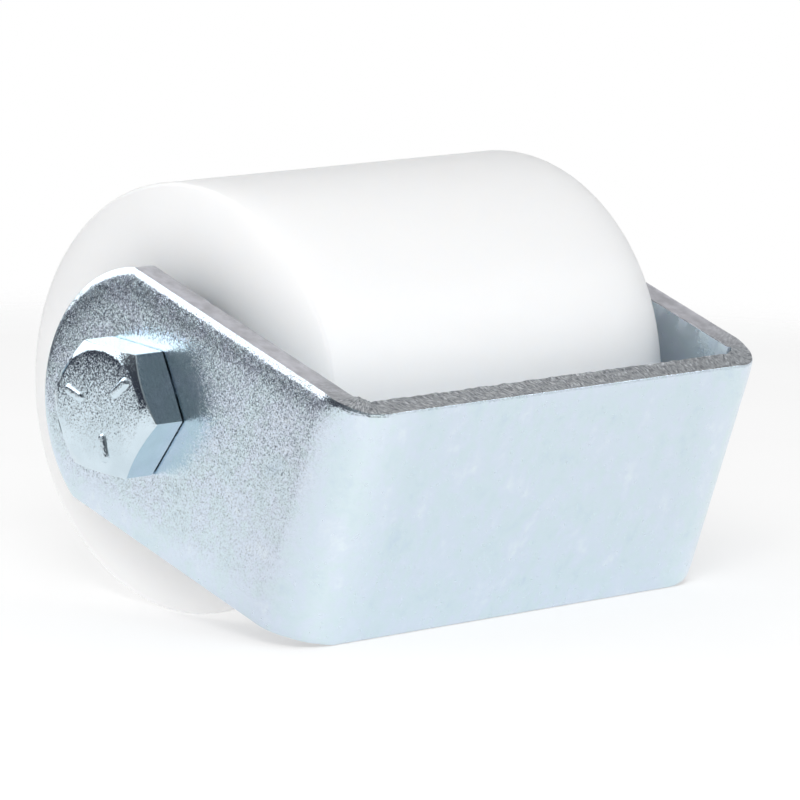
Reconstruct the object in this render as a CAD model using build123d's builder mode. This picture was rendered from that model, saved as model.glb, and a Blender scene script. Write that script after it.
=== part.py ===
from build123d import *
import math
import os

os.makedirs("parts", exist_ok=True)

# A roller between the ears of a U-bracket. The origin is the centre of the bracket's mounting face.
# +X runs from that face towards the roller, Y is the roller's axis with the bolt head at +Y, and +Z is up.

# Bracket: one strip of plate, bent twice
plate_thickness = 6.0
strip_width = 48.5
width_over_ears = 116.0
ear_reach = 80.2
ear_end_radius = 26.7
inside_bend_radius = 5.0
rolled_edge_radius = 1.2
axle_distance = 55.0
ear_hole_radius = 8.75

# Bolt and lock nut, M16
shank_radius = 7.95
thread_gap = 0.02
across_flats = 24.0
head_height = 9.4
head_turn = 13.6
bearing_face_radius = 11.25
bearing_face_height = 0.3
bolt_length = 140.0
bolt_end_chamfer = 1.5
chamfer_start = 0.475 * across_flats
hexagon_reach = 14.0
chamfer_drop = (hexagon_reach - chamfer_start) * math.tan(math.radians(30))
nut_height = 16.0
nut_hexagon_height = 12.0
nut_turn = 22.0
nut_collar_radius = 11.0
nut_lip_thickness = 0.9
nut_lip_radius = 8.6
insert_radius = 9.4
insert_thickness = 2.8
washer_radius = 15.0
washer_hole_radius = 8.5
washer_thickness = 3.0

# Roller
roller_diameter = 82.5
roller_length = 91.0
roller_edge_radius = 0.8
roller_core_radius = 17.0
seat_mouth_chamfer = 0.5
seat_recess = 1.5

# Sealed ball bearing, 16 x 40 x 12, and the sleeves that hold the inner rings in place on the bolt
bearing_bore_radius = 8.0
bearing_outer_radius = 20.0
bearing_width = 12.0
pitch_radius = 14.25
ball_radius = 3.373
ball_count = 8
ball_clearance = 0.06
inner_shoulder_radius = 12.1
outer_shoulder_radius = 16.4
ring_chamfer = 0.6
seal_seat_radius = 17.6
seal_seat_depth = 1.3
seal_thickness = 0.9
seal_lip_gap = 0.08
seal_rim_gap = 0.02
cage_half_thickness = 1.3
cage_width = 8.2
pocket_clearance = 0.1
sleeve_radius = 11.0
sleeve_bore_radius = 8.2

# Worked out from the sizes above
half_span = width_over_ears / 2
half_gap = half_span - plate_thickness
half_strip = strip_width / 2
outside_bend_radius = inside_bend_radius + plate_thickness
ear_arc_centre = ear_reach - ear_end_radius
ear_corner = ear_arc_centre + math.sqrt(ear_end_radius**2 - half_strip**2)
half_roller = roller_length / 2
bearing_face = half_roller - seat_recess
bearing_centre = bearing_face - bearing_width / 2
bearing_back = bearing_face - bearing_width
head_base = half_span + bearing_face_height
head_top = half_span + head_height
bolt_end = half_span - bolt_length
washer_face = -half_span - washer_thickness
nut_hexagon_end = washer_face - nut_hexagon_height
nut_end = washer_face - nut_height
insert_end = nut_end + nut_lip_thickness

# The turned pieces are revolved about the axle; in this section x is the radius and y runs along the axle.
axle_line = Axis((axle_distance, 0, 0), (0, 1, 0))
axle_section = Plane(origin=(axle_distance, 0, 0), x_dir=(1, 0, 0), z_dir=(0, 0, 1))


def save(piece, label):
    """Names a finished piece and writes its file."""
    piece.part.label = label
    export_step(piece.part, f"parts/{label}.step")


def across_axle(distance):
    """A plane square to the axle that faces +Y, at this distance along it, with its y axis up."""
    return Plane(origin=(axle_distance, distance, 0), x_dir=(-1, 0, 0), z_dir=(0, 1, 0))


def ring(inner_radius, outer_radius, start, end, chamfer_length=0.0):
    """A plain turned ring about the axle, with both outer corners chamfered if asked."""
    with BuildPart() as turned:
        with BuildSketch(axle_section):
            with BuildLine():
                Polyline(
                    (inner_radius, start),
                    (outer_radius, start),
                    (outer_radius, end),
                    (inner_radius, end),
                    close=True,
                )
            make_face()
        revolve(axis=axle_line)
        if chamfer_length:
            rims = turned.edges().filter_by(GeomType.CIRCLE)
            chamfer(rims.filter_by(lambda rim: rim.radius > outer_radius - 0.01), chamfer_length)
    return turned


def is_blanked_rim(edge):
    """True for the edges around the outer side of the bent strip, but not for the bolt holes."""
    middle = edge @ 0.5
    if edge.geom_type == GeomType.CIRCLE and edge.radius < outside_bend_radius - 0.01:
        return False
    if edge.geom_type == GeomType.LINE and abs(edge.tangent_at(0.5).Z) > 0.5:
        return False
    on_ear = abs(abs(middle.Y) - half_span) < 0.01
    on_web = abs(middle.X) < 0.01
    on_bend = edge.geom_type == GeomType.CIRCLE and edge.radius < outside_bend_radius + 0.01
    return on_ear or on_web or on_bend


# Bracket: the U in plan, cut to the strip's outline, with the blanked edge rolled on the outer side
with BuildPart() as bracket:
    with BuildSketch(Plane.XY.offset(-half_strip)):
        with BuildLine():
            outside = FilletPolyline(
                (ear_reach, -half_span),
                (0, -half_span),
                (0, half_span),
                (ear_reach, half_span),
                radius=outside_bend_radius,
            )
            inside = FilletPolyline(
                (ear_reach, -half_gap),
                (plate_thickness, -half_gap),
                (plate_thickness, half_gap),
                (ear_reach, half_gap),
                radius=inside_bend_radius,
            )
            Line(outside @ 0, inside @ 0)
            Line(outside @ 1, inside @ 1)
        make_face()
    extrude(amount=strip_width)
    with BuildSketch(Plane.XZ):
        with BuildLine():
            Polyline(
                (ear_corner, half_strip),
                (0, half_strip),
                (0, -half_strip),
                (ear_corner, -half_strip),
            )
            ThreePointArc((ear_corner, -half_strip), (ear_reach, 0), (ear_corner, half_strip))
        make_face()
    extrude(amount=half_span, both=True, mode=Mode.INTERSECT)
    with BuildSketch(Plane.XZ):
        with Locations((axle_distance, 0)):
            Circle(ear_hole_radius)
    extrude(amount=half_span, both=True, mode=Mode.SUBTRACT)
    fillet(bracket.edges().filter_by(is_blanked_rim), radius=rolled_edge_radius)
save(bracket, "bracket")

# Axle bolt: chamfered hexagon head on a round bearing face, and a plain shank with a chamfered end
with BuildPart() as axle_bolt:
    with BuildSketch(across_axle(head_base)):
        RegularPolygon(radius=across_flats / 2, side_count=6, major_radius=False, rotation=head_turn)
    extrude(amount=head_top - head_base)
    with BuildSketch(axle_section):
        with BuildLine():
            Polyline(
                (0, head_base),
                (hexagon_reach, head_base),
                (hexagon_reach, head_top - chamfer_drop),
                (chamfer_start, head_top),
                (0, head_top),
                close=True,
            )
        make_face()
    revolve(axis=axle_line, mode=Mode.INTERSECT)
    with BuildSketch(axle_section):
        with BuildLine():
            Polyline(
                (0, head_base),
                (bearing_face_radius, head_base),
                (bearing_face_radius, half_span),
                (shank_radius, half_span),
                (shank_radius, bolt_end + bolt_end_chamfer),
                (shank_radius - bolt_end_chamfer, bolt_end),
                (0, bolt_end),
                close=True,
            )
        make_face()
    revolve(axis=axle_line)
save(axle_bolt, "axle_bolt")

# Lock nut: chamfered hexagon, then a round collar whose lip is rolled over the locking ring
with BuildPart() as lock_nut:
    with BuildSketch(across_axle(nut_hexagon_end)):
        RegularPolygon(radius=across_flats / 2, side_count=6, major_radius=False, rotation=nut_turn)
    extrude(amount=nut_hexagon_height)
    with BuildSketch(axle_section):
        with BuildLine():
            Polyline(
                (0, washer_face),
                (chamfer_start, washer_face),
                (hexagon_reach, washer_face - chamfer_drop),
                (hexagon_reach, nut_hexagon_end + chamfer_drop),
                (chamfer_start, nut_hexagon_end),
                (0, nut_hexagon_end),
                close=True,
            )
        make_face()
    revolve(axis=axle_line, mode=Mode.INTERSECT)
    with BuildSketch(axle_section):
        with BuildLine():
            Polyline(
                (0, nut_hexagon_end + 1),
                (nut_collar_radius, nut_hexagon_end + 1),
                (nut_collar_radius, nut_end + 1.5),
                (nut_collar_radius - 1.5, nut_end),
                (0, nut_end),
                close=True,
            )
        make_face()
    revolve(axis=axle_line)
    with BuildSketch(axle_section):
        with BuildLine():
            Polyline(
                (0, washer_face),
                (shank_radius + thread_gap, washer_face),
                (shank_radius + thread_gap, insert_end + insert_thickness),
                (insert_radius, insert_end + insert_thickness),
                (insert_radius, insert_end),
                (nut_lip_radius, insert_end),
                (nut_lip_radius, nut_end),
                (0, nut_end),
                close=True,
            )
        make_face()
    revolve(axis=axle_line, mode=Mode.SUBTRACT)
save(lock_nut, "lock_nut")

save(
    ring(shank_radius + thread_gap, insert_radius, insert_end, insert_end + insert_thickness),
    "nut_insert",
)
save(ring(washer_hole_radius, washer_radius, washer_face, -half_span, 0.4), "nut_washer")

# Sleeve on the bolt that holds the two inner rings apart
save(ring(sleeve_bore_radius, sleeve_radius, -bearing_back, bearing_back), "centre_spacer")

# Roller: a plain cylinder with a bearing seat in each end
with BuildPart() as roller:
    with BuildSketch(axle_section):
        with BuildLine():
            Polyline(
                (roller_core_radius, -bearing_back),
                (bearing_outer_radius, -bearing_back),
                (bearing_outer_radius, seat_mouth_chamfer - half_roller),
                (bearing_outer_radius + seat_mouth_chamfer, -half_roller),
                (roller_diameter / 2, -half_roller),
                (roller_diameter / 2, half_roller),
                (bearing_outer_radius + seat_mouth_chamfer, half_roller),
                (bearing_outer_radius, half_roller - seat_mouth_chamfer),
                (bearing_outer_radius, bearing_back),
                (roller_core_radius, bearing_back),
                close=True,
            )
        make_face()
    revolve(axis=axle_line)
    roller_rims = roller.edges().filter_by(GeomType.CIRCLE)
    fillet(
        roller_rims.filter_by(lambda rim: rim.radius > roller_diameter / 2 - 0.01),
        radius=roller_edge_radius,
    )
save(roller, "roller")


def bearing_section(side):
    """The axle section moved to a bearing's centre; side is 1 at the bolt head and -1 at the nut."""
    return axle_section.offset(0).move(Location((0, side * bearing_centre, 0)))


def outer_ring(side):
    """Outer ring, with a ball groove and a seal seat at each face."""
    half_width = bearing_width / 2
    with BuildPart() as made:
        with BuildSketch(bearing_section(side)):
            with BuildLine():
                Polyline(
                    (bearing_outer_radius, ring_chamfer - half_width),
                    (bearing_outer_radius, half_width - ring_chamfer),
                    (bearing_outer_radius - ring_chamfer, half_width),
                    (seal_seat_radius, half_width),
                    (seal_seat_radius, half_width - seal_seat_depth),
                    (outer_shoulder_radius, half_width - seal_seat_depth),
                    (outer_shoulder_radius, seal_seat_depth - half_width),
                    (seal_seat_radius, seal_seat_depth - half_width),
                    (seal_seat_radius, -half_width),
                    (bearing_outer_radius - ring_chamfer, -half_width),
                    close=True,
                )
            make_face()
            with Locations((pitch_radius, 0)):
                Circle(ball_radius + ball_clearance, mode=Mode.SUBTRACT)
        revolve(axis=axle_line)
    return made


def inner_ring(side):
    """Inner ring, with a ball groove between two plain shoulders that the seals run on."""
    half_width = bearing_width / 2
    with BuildPart() as made:
        with BuildSketch(bearing_section(side)):
            with BuildLine():
                Polyline(
                    (bearing_bore_radius, -half_width),
                    (inner_shoulder_radius, -half_width),
                    (inner_shoulder_radius, half_width),
                    (bearing_bore_radius, half_width),
                    close=True,
                )
            make_face()
            with Locations((pitch_radius, 0)):
                Circle(ball_radius + ball_clearance, mode=Mode.SUBTRACT)
        revolve(axis=axle_line)
    return made


def balls(side):
    """The ring of loose balls, as separate solids."""
    with BuildPart() as made:
        with Locations(across_axle(side * bearing_centre)):
            with PolarLocations(pitch_radius, ball_count):
                Sphere(ball_radius)
    return made


def cage(side):
    """One-piece cage: a ring with a round pocket for each ball."""
    with BuildPart() as made:
        with BuildSketch(bearing_section(side)):
            with Locations((pitch_radius, 0)):
                Rectangle(2 * cage_half_thickness, cage_width)
        revolve(axis=axle_line)
        with Locations(across_axle(side * bearing_centre)):
            with PolarLocations(pitch_radius, ball_count):
                Cylinder(
                    radius=ball_radius + pocket_clearance,
                    height=4 * cage_half_thickness,
                    rotation=(0, 90, 0),
                    mode=Mode.SUBTRACT,
                )
    return made


def seal(side, end):
    """Rubber seal at one face of a bearing; end is 1 towards the ear and -1 towards the middle."""
    outside = side * bearing_centre + side * end * (bearing_width / 2 - seal_seat_depth + seal_thickness)
    inside = side * bearing_centre + side * end * (bearing_width / 2 - seal_seat_depth)
    start, finish = sorted((outside, inside))
    return ring(inner_shoulder_radius + seal_lip_gap, seal_seat_radius - seal_rim_gap, start, finish)


for name, side in (("near", 1), ("far", -1)):
    save(outer_ring(side), f"{name}_bearing_outer_ring")
    save(inner_ring(side), f"{name}_bearing_inner_ring")
    save(balls(side), f"{name}_bearing_balls")
    save(cage(side), f"{name}_bearing_cage")
    save(seal(side, 1), f"{name}_bearing_outer_seal")
    save(seal(side, -1), f"{name}_bearing_inner_seal")
    collar_start, collar_end = sorted((side * bearing_face, side * half_gap))
    save(ring(sleeve_bore_radius, sleeve_radius, collar_start, collar_end), f"{name}_end_collar")
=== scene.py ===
import math

import bmesh
import bpy
import numpy as np
from mathutils import Matrix, Vector


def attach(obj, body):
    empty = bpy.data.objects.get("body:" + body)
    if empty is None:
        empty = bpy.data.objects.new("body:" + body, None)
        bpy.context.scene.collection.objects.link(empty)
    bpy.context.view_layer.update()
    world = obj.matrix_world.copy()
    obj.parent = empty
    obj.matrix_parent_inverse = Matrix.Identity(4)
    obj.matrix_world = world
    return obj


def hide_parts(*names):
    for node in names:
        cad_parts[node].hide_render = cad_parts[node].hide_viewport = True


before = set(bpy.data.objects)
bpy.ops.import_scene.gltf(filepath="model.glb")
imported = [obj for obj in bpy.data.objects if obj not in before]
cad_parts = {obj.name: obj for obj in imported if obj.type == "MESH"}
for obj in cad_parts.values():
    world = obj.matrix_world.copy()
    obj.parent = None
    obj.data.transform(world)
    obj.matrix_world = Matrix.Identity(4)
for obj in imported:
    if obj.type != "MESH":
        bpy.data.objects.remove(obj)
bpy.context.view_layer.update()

MM = 0.001
PER_METRE = 1000
rng = np.random.default_rng(16)

# Smoothly shaded faces that meet at more than this many degrees have a sharp edge
SHARP_ANGLE = 28

# Bracket strip, in millimetres: u runs along the flat strip, z across it and w into the plate
PLATE = 6.0
HALF_STRIP = 24.25
HALF_SPAN = 58.0
OUTSIDE_BEND = 11.0
INSIDE_BEND = 2.2
BEND_SPREAD = 15.0
EAR_ARC_CENTRE = 53.5
EAR_RADIUS = 26.7
AXLE_X = 55.0
HOLE_RADIUS = 8.75
WEB_FLAT = HALF_SPAN - OUTSIDE_BEND
BEND_RUN = OUTSIDE_BEND * math.pi / 2
EAR_CORNER = EAR_ARC_CENTRE + math.sqrt(EAR_RADIUS**2 - HALF_STRIP**2)
HEAD_START = 28.0

# How finely the strip is divided: a spacing in millimetres, then numbers of points or rings
STATION = 0.5
BEND_STATIONS = 44
HEAD_STATIONS = 74
EAR_ARC_POINTS = 122
HEAD_RINGS = 11
ROWS_ACROSS = 14
CORNER_SPREAD = 8

# Section of the blanked edge: how far in from the outline, and how deep in the plate
ROLL_OVER = (
    (7.0, 0.0), (6.0, 0.01), (5.0, 0.03), (4.2, 0.06), (3.4, 0.105), (2.6, 0.165), (1.9, 0.225),
    (1.35, 0.28), (1.1, 0.32), (0.85, 0.39), (0.55, 0.49), (0.3, 0.59), (0.1, 0.68), (0.0, 0.74))
SHEARED = ((0.0, 0.9), (0.03, 1.5), (0.0, 2.3), (0.05, 3.1), (0.02, 3.9), (0.06, 4.7), (0.03, 5.3))
BURR = ((0.0, 5.75), (0.04, 5.93), (0.16, 6.0))
WEB_ROLL_OVER = 0.55
ROLL_OVER_GROWS_AFTER = 4.0
BEND_PULL = 0.6
BEND_BULGE = 0.5

# Unevenness of that edge in millimetres (ROLL_WANDER is a share), and the points that each wave spreads over
ROLL_WANDER, ROLL_WANDER_POINTS = 0.1, 40
SHEAR_WAVE, SHEAR_WAVE_POINTS = 0.04, 5
BURR_ON_EAR, BURR_MORE_ON_WEB, BURR_POINTS = 0.09, 0.2, 2
BEND_CRUMPLE, CRUMPLE_POINTS = 0.16, 4

# Bolt and nut, in millimetres
ACROSS_FLATS = 24.0
HEXAGON_CORNER = 0.45
FLAT_POINTS = 12
CORNER_POINTS = 6
EDGE_WEAR = 0.14
CHAMFER_START = 11.4
CHAMFER_SLOPE = math.tan(math.radians(30))
HEAD_BASE = 58.3
HEAD_FACE = 67.0
HEAD_CROWN = 0.22
CHAMFER_SHIFT = 0.5
HEAD_TURN = 43.6
DASH_RADIUS = 7.2
DASH_LENGTH = 5.2
DASH_WIDTH = 1.8
DASH_TURNS = (60, 180, 300)
DASH_END_POINTS = 9
# Section of a dash from its foot to its top: how wide, as a share, and how high above the head's face
DASH_SECTION = ((1.35, -0.3), (1.12, 0.0), (0.98, 0.2), (0.84, 0.32), (0.66, 0.38), (0.4, 0.4))
BEARING_FACE = 11.25
SHANK = 7.95
BOLT_END = -82.0
THREAD_START = -44.0
THREAD_PITCH = 2.0
THREAD_DEPTH = 1.15
THREAD_FLANK = 0.375
THREAD_CREST = 0.12
THREAD_RUN_OUT = 3.0
THREAD_SIDES = 72
THREAD_STEPS = 14
END_CHAMFER = 1.6
NUT_FACE = -61.0
NUT_HEXAGON_END = -73.0
NUT_END = -77.0
NUT_TURN = 52.0
NUT_COLLAR = 11.0
NUT_CLEARANCE = 0.05
RING_SEAT = 3.7

# Roller, in millimetres
ROLLER_RADIUS = 41.23
HALF_ROLLER = 45.5
ROLLER_EDGE = 0.8
ROLLER_SIDES = 224
SEAT_RADIUS = 20.0
SEAT_BACK = 32.0
CORE_RADIUS = 17.0

# The floor touches the web's lower outer edge and the bottom of the roller
FLOOR_TILT = math.asin(ROLLER_RADIUS / math.hypot(AXLE_X, HALF_STRIP)) - math.atan2(HALF_STRIP, AXLE_X)
FLOOR_NORMAL = Vector((math.sin(FLOOR_TILT), 0, math.cos(FLOOR_TILT)))
FLOOR_POINT = Vector((0, 0, -HALF_STRIP * MM))

# Studio, in metres; turns and rises in degrees round the part from the floor
FLOOR_CENTRE = FLOOR_POINT + Vector((0.03, 0.02, -0.03 * math.tan(FLOOR_TILT)))
FLOOR_SOLID = 0.37
FLOOR_EDGE = 0.47
FLOOR_SIDES = 96
FLOOR_GLOW = 0.47
LIGHT_DISTANCE = 0.9
# Each light's name, turn, rise, size and power, then True if only reflections see it, or False if only matt
# surfaces do
LIGHTS = (
    ("soft_box", 34, 34, (0.87, 0.88), 5.7, True),
    ("edge_light", -134, 24, (0.7, 0.45), 2.6, True),
    ("top_light", 130, 34, (0.35, 0.35), 4.0, False))

# The room in the part's reflections: the walls' colours from the floor up, and for the two walls that differ,
# the way each lies and where it fades in
ROOM_STOPS = (
    (0.0, (0.03, 0.032, 0.05)), (0.3, (0.05, 0.052, 0.065)), (0.68, (0.08, 0.083, 0.09)), (0.92, (1, 1, 1)))
SIDE_STOPS = (
    (0.0, (0.12, 0.125, 0.13)), (0.4, (0.25, 0.265, 0.275)), (0.7, (0.35, 0.36, 0.36)), (0.92, (1, 1, 1)))
SIDE_WALL = ((-1, 0, 0), 0.15, 0.45)
BACK_STOPS = (
    (0.0, (0.62, 0.63, 0.64)), (0.45, (0.72, 0.73, 0.74)),
    (0.7, (0.34, 0.35, 0.36)), (1.0, (0.95, 0.95, 0.95)))
BACK_WALL = ((0, -1, 0), -0.1, 0.35)
BACK_BOTTOM, BACK_TOP = -0.35, 0.65
ROOM_STRENGTH = 1.0
TENT_STOPS = ((0.0, (0.88, 0.88, 0.88)), (0.9, (0.90, 0.90, 0.90)))
TENT_STRENGTH = 0.74

# The camera's place in metres, its directions, and its lens and sensor in millimetres
CAMERA_PLACE = Vector((-0.71035, 0.89664, 0.46593))
CAMERA_RIGHT = Vector((-0.6717, -0.6952, 0.2558))
CAMERA_UP = Vector((0.4386, -0.0950, 0.8936))
CAMERA_LENS = 292.6
CAMERA_SENSOR = 36


# ---------------------------------------------------------------- meshes


def mesh_object(name, points, faces, materials, zones=None):
    """A mesh object from points in millimetres. zones gives each face its place in the list of materials."""
    mesh = bpy.data.meshes.new(name)
    mesh.from_pydata([tuple(p) for p in np.asarray(points) * MM], [], [tuple(map(int, f)) for f in faces])
    for material in materials:
        mesh.materials.append(material)
    if zones is not None:
        mesh.polygons.foreach_set("material_index", zones)
    edit = bmesh.new()
    edit.from_mesh(mesh)
    bmesh.ops.recalc_face_normals(edit, faces=edit.faces)
    edit.to_mesh(mesh)
    edit.free()
    mesh.shade_smooth()
    mesh.set_sharp_from_angle(angle=math.radians(SHARP_ANGLE))
    made = bpy.data.objects.new(name, mesh)
    bpy.context.scene.collection.objects.link(made)
    return made


def ring_faces(first, second):
    """Quads between two closed rings of point numbers."""
    after_first, after_second = np.roll(first, -1), np.roll(second, -1)
    return list(zip(first, after_first, after_second, second))


def stack_faces(count, total):
    """Quads between rings of this many points, stacked one after another."""
    faces = []
    for k in range(total - 1):
        start = k * count + np.arange(count)
        faces += ring_faces(start, start + count)
    return faces


def capped_faces(count, total):
    """Stacked rings with a face over each end."""
    ends = [tuple(range(count)), tuple(range((total - 1) * count, total * count))]
    return stack_faces(count, total) + ends


def tube_faces(count, total):
    """Stacked rings with the last joined to the first, so that a bore runs through."""
    return stack_faces(count, total) + ring_faces(np.arange(count) + (total - 1) * count, np.arange(count))


def grid_faces(grid):
    """Quads of a table of point numbers."""
    corners = (grid[:-1, :-1], grid[1:, :-1], grid[1:, 1:], grid[:-1, 1:])
    return list(zip(*(c.ravel() for c in corners)))


def smooth_noise(count, spacing):
    """Seeded noise from -1 to 1 around a closed loop, smooth over about this many points."""
    spectrum = np.fft.rfft(rng.standard_normal(count))
    spectrum *= np.exp(-((np.arange(len(spectrum)) * spacing / count) ** 2) * 8)
    wave = np.fft.irfft(spectrum, count)
    return wave / max(abs(wave).max(), 1e-9)


def ease(value):
    """0 to 1 with a smooth start and end."""
    value = np.clip(value, 0, 1)
    return value * value * (3 - 2 * value)


# Bracket


def bend_strip(flat):
    """Where points (u, z, w) of the flat strip land once it is bent into the U."""
    u, z, w = flat.T
    run = np.abs(u)
    turn = np.clip((run - WEB_FLAT) / OUTSIDE_BEND, 0, math.pi / 2)
    past = np.maximum(run - WEB_FLAT - BEND_RUN, 0)
    shift = (OUTSIDE_BEND - PLATE - INSIDE_BEND) * w / PLATE
    radius = OUTSIDE_BEND - w - shift
    x = OUTSIDE_BEND - shift * np.maximum(1 - past / BEND_SPREAD, 0) - radius * np.cos(turn) + past
    y = np.minimum(run, WEB_FLAT) * (1 + shift / WEB_FLAT) + radius * np.sin(turn)
    return np.stack([x, np.sign(u) * y, z], axis=1)


def along_ear(x):
    """The place along the flat strip of a point this far out on an ear."""
    return WEB_FLAT + BEND_RUN + x - OUTSIDE_BEND


def strip_stations():
    """Stations along the strip's straight edges, from one ear's corner to the other's."""
    half = np.concatenate([
        np.arange(0, WEB_FLAT, STATION),
        np.linspace(WEB_FLAT, WEB_FLAT + BEND_RUN, BEND_STATIONS, endpoint=False),
        np.arange(WEB_FLAT + BEND_RUN, along_ear(HEAD_START) - STATION / 2, STATION),
        np.linspace(along_ear(HEAD_START), along_ear(EAR_CORNER), HEAD_STATIONS),
    ])
    return np.concatenate([-half[:0:-1], half])


def blank_outline(stations):
    """The flat blank's outline, anticlockwise from the far ear's lower corner, and its outward normals.

    The normals are averaged over the points on both sides, so that rings drawn inside the outline don't
    fold over each other at its corners.
    """
    corner = math.atan2(HALF_STRIP, EAR_CORNER - EAR_ARC_CENTRE)
    turns = np.linspace(-corner, corner, EAR_ARC_POINTS)[1:-1]
    near = np.stack([np.cos(turns), np.sin(turns)], axis=1) * EAR_RADIUS + (along_ear(EAR_ARC_CENTRE), 0)
    bottom = np.stack([stations, np.full(len(stations), -HALF_STRIP)], axis=1)
    outline = np.concatenate([bottom, near, -bottom, -near])
    after = np.roll(outline, -1, axis=0) - outline
    after /= np.linalg.norm(after, axis=1)[:, None]
    along = sum(np.roll(after, shift, axis=0) for shift in range(-CORNER_SPREAD, CORNER_SPREAD + 2))
    along /= np.linalg.norm(along, axis=1)[:, None]
    return outline, np.stack([along[:, 1], -along[:, 0]], axis=1)


def edge_rings(outline, normals):
    """The rings of the strip's edge as (u, z, w), from its outer face round to its inner face."""
    run = np.abs(outline[:, 0])
    count = len(outline)
    grown = ease((run - WEB_FLAT - ROLL_OVER_GROWS_AFTER) / BEND_RUN)
    roll_share = WEB_ROLL_OVER + (1 - WEB_ROLL_OVER) * grown
    on_web = 1 - ease((run - WEB_FLAT) / BEND_RUN)
    wander = 1 + ROLL_WANDER * smooth_noise(count, ROLL_WANDER_POINTS)
    on_bend = np.sin(np.clip((run - WEB_FLAT) / BEND_RUN, 0, 1) * math.pi)
    rings = []
    for inset, depth in ROLL_OVER + SHEARED + BURR:
        if depth <= ROLL_OVER[-1][1]:
            inset = inset * roll_share * wander
            depth = depth * roll_share
        elif depth < BURR[0][0]:
            inset = inset + SHEAR_WAVE + SHEAR_WAVE * smooth_noise(count, SHEAR_WAVE_POINTS)
        else:
            inset = inset + (BURR_ON_EAR + BURR_MORE_ON_WEB * on_web) * (1 + smooth_noise(count, BURR_POINTS))
        inset = inset + on_bend * (BEND_PULL * (1 - depth / PLATE) - BEND_BULGE * depth / PLATE)
        inset = inset + on_bend * BEND_CRUMPLE * smooth_noise(count, CRUMPLE_POINTS)
        flat = outline - normals * np.broadcast_to(inset, count)[:, None]
        rings.append(np.column_stack([flat, np.broadcast_to(depth, count)]))
    return rings


def ear_head(flat, loop, side):
    """Rings of points from a loop round an ear's head in to the bolt hole, and the numbers of each ring."""
    centre = side * along_ear(AXLE_X)
    outer = flat[loop]
    around = np.arctan2(outer[:, 1], outer[:, 0] - centre)
    hole = np.stack([
        centre + HOLE_RADIUS * np.cos(around), HOLE_RADIUS * np.sin(around), outer[:, 2]], axis=1)
    rings = [loop]
    for share in np.linspace(0, 1, HEAD_RINGS)[1:]:
        rings.append(len(flat) + np.arange(len(loop)))
        flat = np.concatenate([flat, outer * (1 - share) + hole * share])
    return flat, rings


def bracket_mesh(face_material, edge_material):
    """The bent strip: two faces, the blanked edge between them and the bolt hole in each ear.

    Its UV layer holds each point's place on the flat strip in metres, for the materials to follow.
    """
    stations = strip_stations()
    outline, normals = blank_outline(stations)
    rings = edge_rings(outline, normals)
    count, length = len(outline), len(stations)
    flat = np.concatenate(rings)
    faces = stack_faces(count, len(rings))
    zones = np.repeat(np.arange(len(rings) - 1) >= len(ROLL_OVER) - 1, count).astype(int).tolist()
    first = int(np.argmin(abs(stations + along_ear(HEAD_START))))
    last = length - 1 - first
    holes = {1: [], -1: []}
    for offset in (0, count * (len(rings) - 1)):
        low = offset + np.arange(first, last + 1)
        high = offset + count // 2 + length - 1 - np.arange(first, last + 1)
        share = np.linspace(0, 1, ROWS_ACROSS + 1)[1:-1, None]
        inner = flat[low][:, None] * (1 - share) + flat[high][:, None] * share
        index = len(flat) + np.arange(inner.shape[0] * inner.shape[1]).reshape(inner.shape[:2])
        flat = np.concatenate([flat, inner.reshape(-1, 3)])
        grid = np.column_stack([low, index, high])
        faces += grid_faces(grid)
        for side, column in ((1, grid[-1][-2:0:-1]), (-1, grid[0][1:-1])):
            start = last if side > 0 else count // 2 + last
            loop = offset + (start + np.arange(count // 2 - length + 2 * first + 2)) % count
            flat, spokes = ear_head(flat, np.concatenate([loop, column]), side)
            for outer, inner in zip(spokes, spokes[1:]):
                faces += ring_faces(outer, inner)
            holes[side].append(spokes[-1])
    for outer, inner in holes.values():
        faces += ring_faces(outer, inner)
    zones += [0] * (len(faces) - len(zones))
    made = mesh_object("bracket_plate", bend_strip(flat), faces, [face_material, edge_material], zones)
    on_strip = np.stack([flat[:, 0], flat[:, 1] + flat[:, 2]], axis=1) * MM
    layer = made.data.uv_layers.new(name="strip")
    corner_points = np.zeros(len(made.data.loops), np.int32)
    made.data.loops.foreach_get("vertex_index", corner_points)
    layer.data.foreach_set("uv", on_strip[corner_points].ravel())
    return made


# Turned and forged pieces: rings round the axle, each a circle or a hexagon with worn corners


def hexagon_radii(turn):
    """Angles round the axle and the hexagon's radius at each, with slightly rounded corners."""
    angles, radii = [], []
    apothem = ACROSS_FLATS / 2
    to_flat_end = (apothem - HEXAGON_CORNER) * math.tan(math.radians(30))
    for side in range(6):
        middle = math.radians(turn + 60 * side)
        flat = [(apothem, d) for d in np.linspace(-to_flat_end, to_flat_end, FLAT_POINTS)]
        centre = np.array((apothem - HEXAGON_CORNER, to_flat_end))
        bend = [centre + HEXAGON_CORNER * np.array((math.cos(a), math.sin(a)))
                for a in np.radians(np.linspace(0, 60, CORNER_POINTS)[1:-1])]
        for out, sideways in [*flat, *bend]:
            angles.append(middle + math.atan2(sideways, out))
            radii.append(math.hypot(out, sideways))
    return np.array(angles), np.array(radii)


def rings_about_axle(angles, rings):
    """Points of closed rings round the axle, each given as its radii and its distances along the axle."""
    count = len(angles)
    points = []
    for radii, along in rings:
        radii = np.broadcast_to(radii, count)
        points.append(np.stack([
            AXLE_X - radii * np.cos(angles), np.broadcast_to(along, count), radii * np.sin(angles)], axis=1))
    return np.concatenate(points)


def join(pieces):
    """Several (points, faces) as one."""
    points, faces, offset = [], [], 0
    for piece_points, piece_faces in pieces:
        points.append(piece_points)
        faces += [tuple(offset + n for n in face) for face in piece_faces]
        offset += len(piece_points)
    return np.concatenate(points), faces


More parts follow.
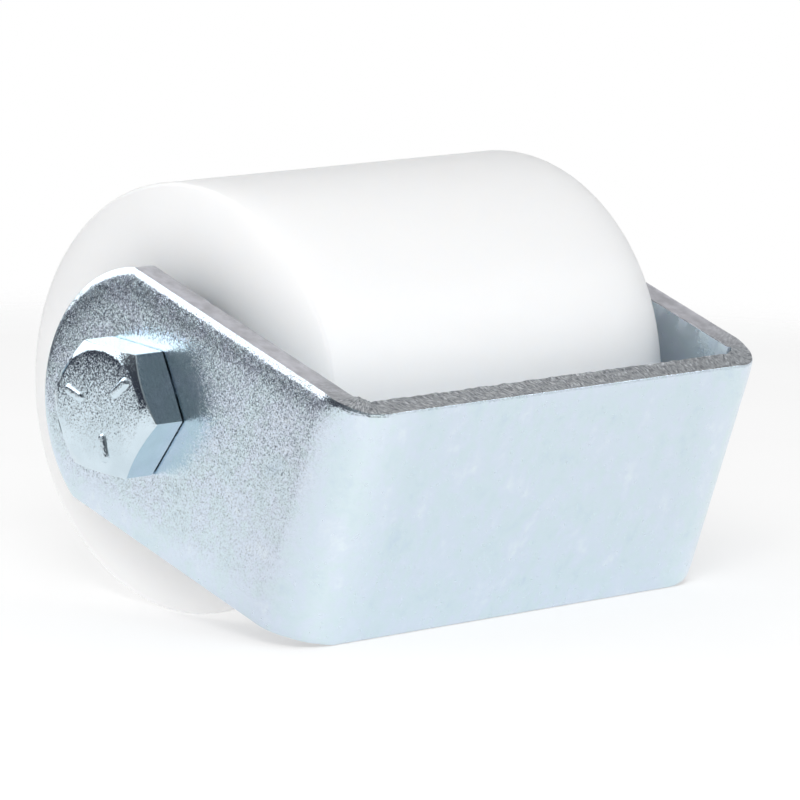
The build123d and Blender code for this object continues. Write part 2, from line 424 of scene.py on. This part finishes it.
def hexagon_ring(radii, level, way, inset=0.0, start=CHAMFER_START):
    """A hexagon ring cut back by the chamfer cone of a face at this level; way is 1 if it faces +Y, or -1."""
    radii = radii - inset
    return radii, level - way * np.maximum(radii - start, 0) * CHAMFER_SLOPE


def thread_shell():
    """The rolled thread: a shaft whose radius follows a helix, with a chamfered end."""
    angles = np.linspace(0, 2 * math.pi, THREAD_SIDES, endpoint=False)
    rings = []
    for along in np.arange(THREAD_START, BOLT_END - 0.01, -THREAD_PITCH / THREAD_STEPS):
        phase = (along / THREAD_PITCH + angles / (2 * math.pi)) % 1
        cut = np.clip((0.5 - np.abs(phase - 0.5)) / THREAD_FLANK - THREAD_CREST, 0, 1)
        depth = THREAD_DEPTH * cut * ease((THREAD_START - along) / THREAD_RUN_OUT)
        limit = SHANK - max(0.0, BOLT_END + END_CHAMFER - along)
        rings.append((np.minimum(SHANK - depth, limit), along))
    return rings_about_axle(angles, rings), capped_faces(THREAD_SIDES, len(rings))


def dash_outline():
    """A bar with round ends, lying along X about the origin."""
    radius = DASH_WIDTH / 2
    middle = DASH_LENGTH / 2 - radius
    turns = np.radians(np.linspace(-90, 90, DASH_END_POINTS))
    half = np.stack([middle + radius * np.cos(turns), radius * np.sin(turns)], axis=1)
    return np.concatenate([half, -half])


def head_dash(turn):
    """One short raised bar on the head's face, lying along a radius."""
    outline = dash_outline()
    c, s = math.cos(turn), math.sin(turn)
    rings = []
    for share, height in DASH_SECTION:
        along = outline[:, 0] * (1 - (1 - share) * DASH_WIDTH / DASH_LENGTH) + DASH_RADIUS
        across = outline[:, 1] * share
        rings.append(np.stack([
            AXLE_X - (along * c - across * s), np.full(len(outline), HEAD_FACE + height),
            along * s + across * c], axis=1))
    return np.concatenate(rings), capped_faces(len(outline), len(rings))


def bolt_mesh(material):
    """Forged hexagon head with three raised dashes, round bearing face, plain shank and rolled thread."""
    angles, radii = hexagon_radii(HEAD_TURN)
    off = -CHAMFER_SHIFT * np.cos(angles)
    rim = HEAD_FACE - HEAD_CROWN
    rings = [
        (3.0, HEAD_FACE),
        (5.0, HEAD_FACE - 0.1 * HEAD_CROWN),
        (7.0, HEAD_FACE - 0.3 * HEAD_CROWN),
        (9.0 + 0.5 * off, HEAD_FACE - 0.6 * HEAD_CROWN),
        (10.7 + off, rim),
        (11.15 + off, rim - 0.04),
        (11.45 + off, rim - EDGE_WEAR),
        hexagon_ring(radii, rim, 1, 0.16, CHAMFER_START + off),
        hexagon_ring(radii, rim - EDGE_WEAR, 1, 0.0, CHAMFER_START + off),
        (radii, HEAD_BASE + 0.2),
        (radii - 0.2, HEAD_BASE),
        (BEARING_FACE, HEAD_BASE),
        (BEARING_FACE, HALF_SPAN),
        (SHANK, HALF_SPAN),
        (SHANK, THREAD_START),
    ]
    head = rings_about_axle(angles, rings), capped_faces(len(angles), len(rings))
    dashes = [head_dash(math.radians(a)) for a in DASH_TURNS]
    return mesh_object("axle_bolt_forged", *join([head, thread_shell(), *dashes]), [material])


def nut_mesh(material):
    """Lock nut: hexagon chamfered at both ends, and the collar whose lip is rolled over the locking ring."""
    angles, radii = hexagon_radii(NUT_TURN)
    bore = SHANK + NUT_CLEARANCE
    rings = [
        (bore, NUT_FACE - 0.5),
        (bore + 0.5, NUT_FACE),
        (CHAMFER_START - 0.1, NUT_FACE),
        hexagon_ring(radii, NUT_FACE, 1, EDGE_WEAR),
        hexagon_ring(radii, NUT_FACE - EDGE_WEAR, 1),
        hexagon_ring(radii, NUT_HEXAGON_END + EDGE_WEAR, -1),
        hexagon_ring(radii, NUT_HEXAGON_END, -1, EDGE_WEAR),
        (NUT_COLLAR + 0.3, NUT_HEXAGON_END),
        (NUT_COLLAR, NUT_HEXAGON_END - 0.4),
        (NUT_COLLAR, NUT_END + 1.8),
        (NUT_COLLAR - 0.3, NUT_END + 0.9),
        (NUT_COLLAR - 0.9, NUT_END + 0.25),
        (NUT_COLLAR - 1.7, NUT_END),
        (NUT_COLLAR - 2.2, NUT_END + 0.1),
        (NUT_COLLAR - 2.4, NUT_END + 0.5),
        (NUT_COLLAR - 2.4, NUT_END + 0.9),
        (NUT_COLLAR - 1.6, NUT_END + 0.9),
        (NUT_COLLAR - 1.6, NUT_END + RING_SEAT),
        (bore, NUT_END + RING_SEAT),
    ]
    faces = tube_faces(len(angles), len(rings))
    return mesh_object("lock_nut_forged", rings_about_axle(angles, rings), faces, [material])


def roller_mesh(material):
    """The roller: a turned cylinder with eased corners and a bearing seat in each end."""
    angles = np.linspace(0, 2 * math.pi, ROLLER_SIDES, endpoint=False)
    rim = [(ROLLER_RADIUS - ROLLER_EDGE * (1 - math.sin(a)), HALF_ROLLER - ROLLER_EDGE * (1 - math.cos(a)))
           for a in np.radians(np.linspace(0, 90, 8))]
    face = [(r, HALF_ROLLER) for r in (SEAT_RADIUS + 0.5, 24, 28, 32, 36, 39.5)]
    bore = [(CORE_RADIUS, 0), (CORE_RADIUS, SEAT_BACK), (SEAT_RADIUS, SEAT_BACK),
            (SEAT_RADIUS, HALF_ROLLER - 0.5)]
    half = [*bore, *face, *rim, *((ROLLER_RADIUS, y) for y in (40, 30, 20, 10))]
    profile = half + [(ROLLER_RADIUS, 0)] + [(r, -y) for r, y in half[::-1]][:-1]
    faces = tube_faces(ROLLER_SIDES, len(profile))
    return mesh_object("roller_turned", rings_about_axle(angles, profile), faces, [material])


# ---------------------------------------------------------------- materials


def new_material(name, **sockets):
    """A material with its shader's plain sockets set."""
    material = bpy.data.materials.new(name)
    material.use_nodes = True
    shader = material.node_tree.nodes["Principled BSDF"]
    for socket, value in sockets.items():
        shader.inputs[socket.replace("_", " ")].default_value = value
    return material, material.node_tree, shader


def add(tree, kind, inputs=None, **settings):
    """A node with its settings, and its inputs set to values or linked to other nodes' outputs."""
    node = tree.nodes.new("ShaderNode" + kind)
    for key, value in settings.items():
        setattr(node, key, value)
    for key, value in (inputs or {}).items():
        if isinstance(value, bpy.types.NodeSocket):
            tree.links.new(value, node.inputs[key])
        else:
            node.inputs[key].default_value = value
    return node


def place(tree, scale=(1, 1, 1), output="Object"):
    """The piece's own coordinates in metres, or with output UV the place on the flat strip, stretched."""
    coordinates = add(tree, "TexCoord").outputs[output]
    return add(tree, "Mapping", {"Vector": coordinates, "Scale": scale}).outputs["Vector"]


def noise(tree, vector, size, detail=2.0, roughness=0.5):
    """Noise whose features are about this many millimetres across."""
    return add(tree, "TexNoise", {
        "Vector": vector, "Scale": PER_METRE / size, "Detail": detail, "Roughness": roughness}).outputs["Fac"]


def ramp(tree, value, *stops):
    """A colour ramp through (position, colour) stops."""
    node = add(tree, "ValToRGB", {"Fac": value})
    elements = node.color_ramp.elements
    while len(elements) < len(stops):
        elements.new(0.5)
    for element, (position, colour) in zip(elements, stops):
        element.position = position
        element.color = (*colour, 1)
    return node.outputs["Color"]


def spread(tree, value, low, high):
    """Noise, which mostly lies between 0.3 and 0.7, as a number from low to high."""
    node = add(tree, "MapRange", {
        "Value": value, "From Min": 0.3, "From Max": 0.7, "To Min": low, "To Max": high})
    return node.outputs["Result"]


def bump(tree, height, depth, below=None, strength=1.0):
    """A bump of this depth in millimetres, on top of another."""
    inputs = {"Height": height, "Distance": depth * MM, "Strength": strength}
    if below is not None:
        inputs["Normal"] = below
    return add(tree, "Bump", inputs).outputs["Normal"]


def facets(tree, vector, size, tilt):
    """The surface normal, tipped at random in each small crystal of about this many millimetres."""
    cells = add(tree, "TexVoronoi", {"Vector": vector, "Scale": PER_METRE / size})
    away = add(tree, "VectorMath", {0: cells.outputs["Color"], 1: (0.5, 0.5, 0.5)}, operation="SUBTRACT")
    tip = add(tree, "VectorMath", {0: away.outputs["Vector"], "Scale": tilt}, operation="SCALE")
    normal = add(tree, "NewGeometry").outputs["Normal"]
    tipped = add(tree, "VectorMath", {0: normal, 1: tip.outputs["Vector"]}, operation="ADD")
    return add(tree, "VectorMath", {0: tipped.outputs["Vector"]}, operation="NORMALIZE").outputs["Vector"]


def along_strip(tree, start, end):
    """How far along the strip from the web's middle a point is, as 0 at start and 1 at end."""
    on_strip = add(tree, "TexCoord").outputs["UV"]
    along = add(tree, "SeparateXYZ", {"Vector": on_strip}).outputs["X"]
    run = add(tree, "Math", {0: along}, operation="ABSOLUTE").outputs[0]
    share = add(tree, "MapRange", {"Value": run, "From Min": start * MM, "From Max": end * MM})
    return share.outputs["Result"]


def mix(tree, share, first, second, blend="MIX"):
    """Two colours mixed."""
    return add(tree, "Mix", {0: share, 6: first, 7: second}, data_type="RGBA", blend_type=blend).outputs[2]


def zinc_face():
    """Bright zinc over a pickled rolled surface: crystals that sparkle, a blue-white bloom, and a painted
    highlight with painted shade beside it across each bend.
    """
    material, tree, shader = new_material("zinc_plated_face", Metallic=1.0)
    here = place(tree)
    cloud = noise(tree, here, 7, 9, 0.72)
    colour = ramp(
        tree, cloud, (0.3, (0.60, 0.71, 0.805)), (0.44, (0.65, 0.765, 0.82)),
        (0.56, (0.67, 0.755, 0.855)), (0.72, (0.74, 0.83, 0.88)))
    # Painted highlight and painted shade across the bends: the colour is lightened, then darkened, from 40 to
    # 80 mm along the strip
    bend_highlight_and_shade = ramp(
        tree, along_strip(tree, 40, 80), (0.0, (1, 1, 1)), (0.32, (1.09, 1.08, 1.06)),
        (0.44, (1, 1, 1)), (0.62, (0.94, 0.925, 0.93)), (1.0, (1, 1, 1)))
    tree.links.new(mix(tree, 1.0, colour, bend_highlight_and_shade, "MULTIPLY"), shader.inputs["Base Color"])
    tree.links.new(spread(tree, noise(tree, here, 1.0, 3), 0.18, 0.28), shader.inputs["Roughness"])
    waves = bump(tree, noise(tree, here, 5, 2), 0.008, facets(tree, here, 0.18, 0.165))
    grain = bump(tree, noise(tree, here, 0.4, 2), 0.004, waves)
    tree.links.new(grain, shader.inputs["Normal"])
    return material


def zinc_edge():
    """The sheared edge of the plate: smooth grey on the ears, torn into dark streaks on the web and bends."""
    material, tree, shader = new_material("zinc_plated_sheared_edge", Metallic=1.0)
    along = place(tree, (1, 0.3, 1), "UV")
    streaks = noise(tree, along, 0.45, 5, 0.75)
    ragged = add(tree, "Math", {0: 1.0, 1: along_strip(tree, 58, 74)}, operation="SUBTRACT").outputs[0]
    cloud = noise(tree, place(tree), 3, 3)
    smooth = ramp(tree, cloud, (0.35, (0.42, 0.42, 0.45)), (0.65, (0.56, 0.56, 0.60)))
    rough = ramp(
        tree, streaks, (0.38, (0.12, 0.128, 0.145)), (0.52, (0.37, 0.39, 0.41)), (0.68, (0.78, 0.80, 0.83)))
    tree.links.new(mix(tree, ragged, smooth, rough), shader.inputs["Base Color"])
    tree.links.new(spread(tree, streaks, 0.30, 0.52), shader.inputs["Roughness"])
    torn = bump(tree, streaks, 0.2, strength=ragged)
    grain = bump(tree, noise(tree, place(tree), 0.3, 2), 0.012, torn)
    tree.links.new(grain, shader.inputs["Normal"])
    return material


def zinc_bolt():
    """Forged and zinc-plated fastener: smoother than the plate, with faint lines along the flats."""
    material, tree, shader = new_material("zinc_plated_fastener", Metallic=1.0)
    here = place(tree)
    cloud = noise(tree, here, 5, 3)
    colour = ramp(tree, cloud, (0.3, (0.60, 0.71, 0.775)), (0.7, (0.67, 0.78, 0.85)))
    tree.links.new(colour, shader.inputs["Base Color"])
    tree.links.new(spread(tree, noise(tree, here, 0.8, 3), 0.10, 0.20), shader.inputs["Roughness"])
    streaks = noise(tree, place(tree, (0.12, 1, 0.12)), 0.5, 3, 0.6)
    lines = bump(tree, streaks, 0.035, facets(tree, here, 0.19, 0.12))
    grain = bump(tree, noise(tree, here, 0.4, 3, 0.65), 0.008, lines)
    tree.links.new(grain, shader.inputs["Normal"])
    return material


def nylon_body():
    """Turned white nylon: satin, faintly milky, with fine rings left by the lathe."""
    material, tree, shader = new_material(
        "white_nylon", Subsurface_Weight=1.0, Subsurface_Scale=0.03, IOR=1.52)
    shader.inputs["Subsurface Radius"].default_value = (1.0, 0.95, 0.9)
    here = place(tree)
    cloud = noise(tree, here, 22, 3)
    colour = ramp(tree, cloud, (0.3, (0.95, 0.955, 0.96)), (0.7, (0.97, 0.97, 0.97)))
    tree.links.new(colour, shader.inputs["Base Color"])
    tree.links.new(spread(tree, noise(tree, here, 4, 3), 0.34, 0.46), shader.inputs["Roughness"])
    rings = bump(tree, noise(tree, place(tree, (0.02, 1, 0.02)), 0.6, 2), 0.008)
    grain = bump(tree, noise(tree, here, 0.8, 2), 0.006, rings)
    tree.links.new(grain, shader.inputs["Normal"])
    return material


def steel(name, dark, light, smooth, rough, line_depth):
    """Machined steel: colour and gloss vary a little, with fine rings from the tool."""
    material, tree, shader = new_material(name, Metallic=1.0)
    here = place(tree)
    colour = ramp(tree, noise(tree, here, 4, 3), (0.3, dark), (0.7, light))
    tree.links.new(colour, shader.inputs["Base Color"])
    tree.links.new(spread(tree, noise(tree, here, 1.2, 2), smooth, rough), shader.inputs["Roughness"])
    lines = bump(tree, noise(tree, place(tree, (0.05, 1, 0.05)), 0.25, 2), line_depth)
    tree.links.new(lines, shader.inputs["Normal"])
    return material


def moulded(name, dark, light, smooth, rough, grain_size):
    """Moulded rubber or plastic: a soft mottle and a fine surface grain."""
    material, tree, shader = new_material(name)
    here = place(tree)
    colour = ramp(tree, noise(tree, here, 3, 3), (0.3, dark), (0.7, light))
    tree.links.new(colour, shader.inputs["Base Color"])
    tree.links.new(spread(tree, noise(tree, here, 1.5, 2), smooth, rough), shader.inputs["Roughness"])
    tree.links.new(bump(tree, noise(tree, here, grain_size, 2), 0.01), shader.inputs["Normal"])
    return material


# ---------------------------------------------------------------- studio


def standing(position, right, over, back):
    """Where a thing stands, with its X, Y and Z along these three directions."""
    return Matrix.Translation(position) @ Matrix((right, over, back)).transposed().to_4x4()


def make_light(name, turn, rise, size, power, glossy):
    """A soft light that faces the origin, seen either only in reflections or only by matt surfaces."""
    across = Vector((0, 1, 0)).cross(FLOOR_NORMAL)
    turn, rise = math.radians(turn), math.radians(rise)
    level = across * math.cos(turn) + Vector((0, 1, 0)) * math.sin(turn)
    lamp = bpy.data.lights.new(name, "AREA")
    lamp.shape = "RECTANGLE"
    lamp.size, lamp.size_y = size
    lamp.energy = power
    made = bpy.data.objects.new(name, lamp)
    bpy.context.scene.collection.objects.link(made)
    made.visible_camera = False
    made.visible_glossy = glossy
    made.visible_diffuse = not glossy
    position = LIGHT_DISTANCE * (level * math.cos(rise) + FLOOR_NORMAL * math.sin(rise))
    back = position.normalized()
    right = FLOOR_NORMAL.cross(back).normalized()
    made.matrix_world = standing(position, right, back.cross(right), back)


def floor_material():
    """White paper that fades out towards the edge of the sheet."""
    material, tree, shader = new_material("white_paper", Roughness=0.9)
    cloud = noise(tree, place(tree), 60, 2)
    colour = ramp(tree, cloud, (0.3, (0.55, 0.55, 0.55)), (0.7, (0.57, 0.57, 0.57)))
    tree.links.new(colour, shader.inputs["Base Color"])
    shader.inputs["Emission Color"].default_value = (1, 1, 1, 1)
    shader.inputs["Emission Strength"].default_value = FLOOR_GLOW
    away = add(tree, "VectorMath", {0: add(tree, "TexCoord").outputs["Object"]}, operation="LENGTH")
    fade = add(tree, "MapRange", {
        "Value": away.outputs["Value"], "From Min": FLOOR_SOLID, "From Max": FLOOR_EDGE,
        "To Min": 1.0, "To Max": 0.0}, interpolation_type="SMOOTHSTEP")
    tree.links.new(fade.outputs["Result"], shader.inputs["Alpha"])
    return material


def make_floor():
    """A round sheet of paper under the part."""
    angles = np.linspace(0, 2 * math.pi, FLOOR_SIDES, endpoint=False)
    radius = FLOOR_EDGE * PER_METRE
    points = [(0, 0, 0)] + [(radius * math.cos(a), radius * math.sin(a), 0) for a in angles]
    faces = [(0, 1 + i, 1 + (i + 1) % FLOOR_SIDES) for i in range(FLOOR_SIDES)]
    floor = mesh_object("floor", points, faces, [floor_material()])
    side = Vector((0, 1, 0))
    ahead = side.cross(FLOOR_NORMAL)
    floor.matrix_world = standing(FLOOR_CENTRE, ahead, side, FLOOR_NORMAL)
    return floor


def facing(tree, direction, way, start, end):
    """How far a direction points this way, as 0 at start and 1 at end."""
    part = add(tree, "VectorMath", {0: direction, 1: way}, operation="DOT_PRODUCT").outputs["Value"]
    limits = {"Value": part, "From Min": start, "From Max": end}
    return add(tree, "MapRange", limits, interpolation_type="SMOOTHSTEP").outputs["Result"]


def make_world():
    """White behind the part, a dim room with a bright ceiling in reflections, an even tent elsewhere."""
    world = bpy.data.worlds.new("studio")
    bpy.context.scene.world = world
    world.use_nodes = True
    tree = world.node_tree
    tree.nodes.clear()
    direction = add(tree, "TexCoord").outputs["Generated"]
    upward = add(tree, "VectorMath", {0: direction, 1: FLOOR_NORMAL}, operation="DOT_PRODUCT")
    height = upward.outputs["Value"]
    raised = add(tree, "MapRange", {"Value": height, "From Min": BACK_BOTTOM, "From Max": BACK_TOP})
    at_side = facing(tree, direction, *SIDE_WALL)
    at_back = facing(tree, direction, *BACK_WALL)
    walls = mix(tree, at_side, ramp(tree, height, *ROOM_STOPS), ramp(tree, height, *SIDE_STOPS))
    walls = mix(tree, at_back, walls, ramp(tree, raised.outputs["Result"], *BACK_STOPS))
    room = add(tree, "Background", {"Color": walls, "Strength": ROOM_STRENGTH})
    tent = add(tree, "Background", {"Color": ramp(tree, height, *TENT_STOPS), "Strength": TENT_STRENGTH})
    white = add(tree, "Background", {"Color": (1, 1, 1, 1), "Strength": 1.0})
    ray = add(tree, "LightPath").outputs
    scattered = add(tree, "Math", {0: ray["Diffuse Depth"], 1: 0.5}, operation="LESS_THAN").outputs[0]
    mirrored = add(tree, "Math", {0: ray["Is Glossy Ray"], 1: scattered}, operation="MULTIPLY").outputs[0]
    lit = add(tree, "MixShader", {0: mirrored, 1: tent.outputs[0], 2: room.outputs[0]})
    mixed = add(tree, "MixShader", {0: ray["Is Camera Ray"], 1: lit.outputs[0], 2: white.outputs[0]})
    output = add(tree, "OutputWorld")
    tree.links.new(mixed.outputs[0], output.inputs["Surface"])


def make_camera():
    """The camera at the photograph's angle."""
    camera = bpy.data.cameras.new("camera")
    camera.lens = CAMERA_LENS
    camera.sensor_width = CAMERA_SENSOR
    camera.clip_start, camera.clip_end = 0.05, 20
    made = bpy.data.objects.new("camera", camera)
    bpy.context.scene.collection.objects.link(made)
    right = CAMERA_RIGHT.normalized()
    back = right.cross(CAMERA_UP).normalized()
    made.matrix_world = standing(CAMERA_PLACE, right, back.cross(right), back)
    bpy.context.scene.camera = made


# ---------------------------------------------------------------- assembly


def stand_in(piece, body, node):
    """Puts a detailed piece in place of a CAD node."""
    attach(piece, body)
    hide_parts(node)


def paint(names, material):
    """Gives CAD nodes that are shown as packed their material."""
    for name in names:
        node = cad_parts[name]
        node.data.materials.clear()
        node.data.materials.append(material)


fastener = zinc_bolt()
stand_in(bracket_mesh(zinc_face(), zinc_edge()), "frame", "bracket")
stand_in(bolt_mesh(fastener), "frame", "axle_bolt")
stand_in(nut_mesh(fastener), "frame", "lock_nut")
stand_in(roller_mesh(nylon_body()), "roller_body", "roller")

bearings = ("near_bearing_", "far_bearing_")
paint(["nut_washer"], fastener)
paint(["nut_insert"],
      moulded("locking_nylon", (0.66, 0.66, 0.62), (0.76, 0.76, 0.72), 0.4, 0.55, 0.5))
paint(["centre_spacer", "near_end_collar", "far_end_collar"],
      steel("turned_steel", (0.50, 0.51, 0.52), (0.62, 0.63, 0.64), 0.28, 0.42, 0.012))
paint([b + part for b in bearings for part in ("outer_ring", "inner_ring")],
      steel("bearing_steel", (0.58, 0.58, 0.58), (0.68, 0.68, 0.67), 0.14, 0.24, 0.004))
paint([b + "balls" for b in bearings],
      steel("ball_steel", (0.64, 0.64, 0.65), (0.72, 0.72, 0.73), 0.05, 0.10, 0.001))
paint([b + "cage" for b in bearings],
      moulded("cage_nylon", (0.55, 0.54, 0.47), (0.66, 0.65, 0.58), 0.4, 0.55, 0.6))
paint([b + part for b in bearings for part in ("outer_seal", "inner_seal")],
      moulded("seal_rubber", (0.012, 0.012, 0.013), (0.028, 0.028, 0.03), 0.5, 0.68, 0.3))

make_floor()
make_world()
make_camera()
for light in LIGHTS:
    make_light(*light)
bpy.context.scene.view_settings.view_transform = "Standard"
